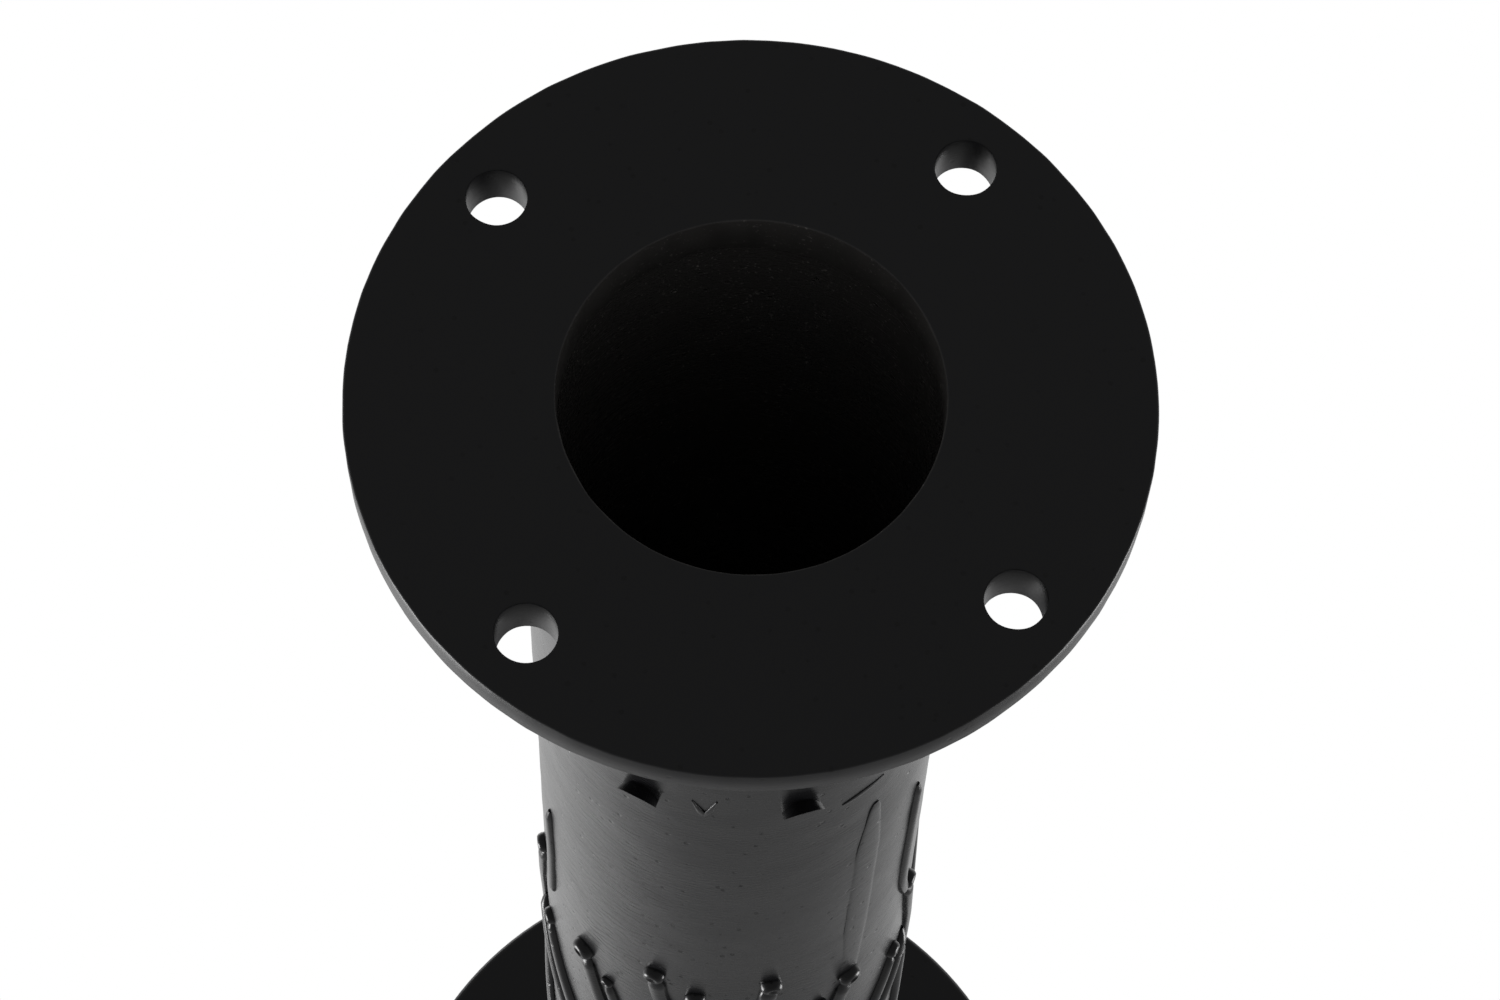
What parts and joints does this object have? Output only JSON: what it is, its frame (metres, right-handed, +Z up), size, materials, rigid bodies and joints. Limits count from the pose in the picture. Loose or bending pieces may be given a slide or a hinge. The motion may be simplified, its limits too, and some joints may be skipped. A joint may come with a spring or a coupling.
{
  "type": "double-faced post street clock",
  "caption": "Street clock with dials on both sides, on a black cast iron post with raised scroll relief and a round bolted base flange.",
  "frame": {"origin": "centre of the base flange on its underside", "axes": "+Z up the post, -Y towards the front dial, X along the width of the case"},
  "size_m": [0.652, 0.3, 2.644],
  "materials": {
    "black_paint": "semi-gloss black paint over cast and welded iron",
    "zinc_steel": "zinc plated",
    "brass": "fine turned",
    "dial_opal": "opal white, satin",
    "hand_black": "satin black",
    "glass": "clear, toughened",
    "rubber": "matte",
    "housing": "moulded",
    "aluminium": "extruded"
  },
  "bodies": {
    "post_and_case": {"base_flange": "black_paint", "base_weld": "black_paint", "lower_shaft": "black_paint", "shaft_relief": "black_paint", "collar_plate": "black_paint", "column_foot": "black_paint", "foot_gasket": "rubber", "collar_bolts": "zinc_steel", "collar_nuts": "zinc_steel", "fluted_column": "black_paint", "column_astragal": "black_paint", "capital": "black_paint", "saddle": "black_paint", "saddle_bolts": "zinc_steel", "left_scroll": "black_paint", "right_scroll": "black_paint", "case_drum": "black_paint", "case_gaskets": "rubber", "finial_base": "black_paint", "finial": "black_paint", "cable_gland": "rubber", "lamp_ring": "aluminium", "power_supply": "housing", "terminal_block": "housing", "movement_strap": "zinc_steel", "front_plate": "brass", "centre_plate": "brass", "rear_plate": "brass", "plate_pillars": "zinc_steel", "drive_motor": "zinc_steel", "front_dial": "dial_opal", "rear_dial": "dial_opal", "dial_screws": "zinc_steel", "front_hinge_pins": "zinc_steel", "rear_hinge_pins": "zinc_steel"},
    "front_door": {"front_bezel": "black_paint", "front_glass": "glass", "front_glass_seal": "rubber"},
    "front_door_latch": {"front_latch": "zinc_steel"},
    "rear_door": {"rear_bezel": "black_paint", "rear_glass": "glass", "rear_glass_seal": "rubber"},
    "rear_door_latch": {"rear_latch": "zinc_steel"},
    "front_minute": {"front_minute_arbor": "brass", "front_minute_hand": "hand_black"},
    "front_motion": {"front_motion_wheel": "brass"},
    "front_hour": {"front_hour_wheel": "brass", "front_hour_hand": "hand_black"},
    "rear_minute": {"rear_minute_arbor": "brass", "rear_minute_hand": "hand_black"},
    "rear_motion": {"rear_motion_wheel": "brass"},
    "rear_hour": {"rear_hour_wheel": "brass", "rear_hour_hand": "hand_black"},
    "motor_shaft": {"drive_pinion": "brass"},
    "idler": {"idler_pinion": "brass"}
  },
  "joints": [
    {"name": "front_minute_turn", "type": "hinge", "parent": "post_and_case", "child": "front_minute", "pos_m": [0, -0.014, 2.112], "axis": [0, 1, 0], "continuous": true},
    {"name": "front_motion_turn", "type": "hinge", "parent": "post_and_case", "child": "front_motion", "pos_m": [0, -0.0385, 2.1495], "axis": [0, 1, 0], "continuous": true},
    {"name": "front_hour_turn", "type": "hinge", "parent": "post_and_case", "child": "front_hour", "pos_m": [0, -0.05, 2.112], "axis": [0, 1, 0], "continuous": true},
    {"name": "rear_minute_turn", "type": "hinge", "parent": "post_and_case", "child": "rear_minute", "pos_m": [0, 0.014, 2.112], "axis": [0, 1, 0], "continuous": true},
    {"name": "rear_motion_turn", "type": "hinge", "parent": "post_and_case", "child": "rear_motion", "pos_m": [0, 0.0385, 2.1495], "axis": [0, 1, 0], "continuous": true},
    {"name": "rear_hour_turn", "type": "hinge", "parent": "post_and_case", "child": "rear_hour", "pos_m": [0, 0.05, 2.112], "axis": [0, 1, 0], "continuous": true},
    {"name": "motor_shaft_turn", "type": "hinge", "parent": "post_and_case", "child": "motor_shaft", "pos_m": [-0.015, 0, 2.03851], "axis": [0, 1, 0], "continuous": true},
    {"name": "idler_turn", "type": "hinge", "parent": "post_and_case", "child": "idler", "pos_m": [0.015, 0, 2.03851], "axis": [0, 1, 0], "continuous": true},
    {"name": "front_door_hinge", "type": "hinge", "parent": "post_and_case", "child": "front_door", "pos_m": [-0.321, -0.081, 2.112], "axis": [0, 0, -1], "range_deg": [0, 110]},
    {"name": "rear_door_hinge", "type": "hinge", "parent": "post_and_case", "child": "rear_door", "pos_m": [0.321, 0.081, 2.112], "axis": [0, 0, -1], "range_deg": [0, 110]},
    {"name": "front_latch_turn", "type": "hinge", "parent": "front_door", "child": "front_door_latch", "pos_m": [0.274, -0.09, 2.112], "axis": [0, 1, 0], "range_deg": [0, 90]},
    {"name": "rear_latch_turn", "type": "hinge", "parent": "rear_door", "child": "rear_door_latch", "pos_m": [-0.274, 0.09, 2.112], "axis": [0, -1, 0], "range_deg": [0, 90]}
  ],
  "couplings": [
    {"joint": "front_motion_turn", "follows": "front_minute_turn", "ratio": -0.33333},
    {"joint": "front_hour_turn", "follows": "front_minute_turn", "ratio": 0.083333},
    {"joint": "rear_minute_turn", "follows": "front_minute_turn", "ratio": -1},
    {"joint": "rear_motion_turn", "follows": "front_minute_turn", "ratio": 0.33333},
    {"joint": "rear_hour_turn", "follows": "front_minute_turn", "ratio": -0.083333},
    {"joint": "motor_shaft_turn", "follows": "front_minute_turn", "ratio": -4},
    {"joint": "idler_turn", "follows": "front_minute_turn", "ratio": 4}
  ]
}
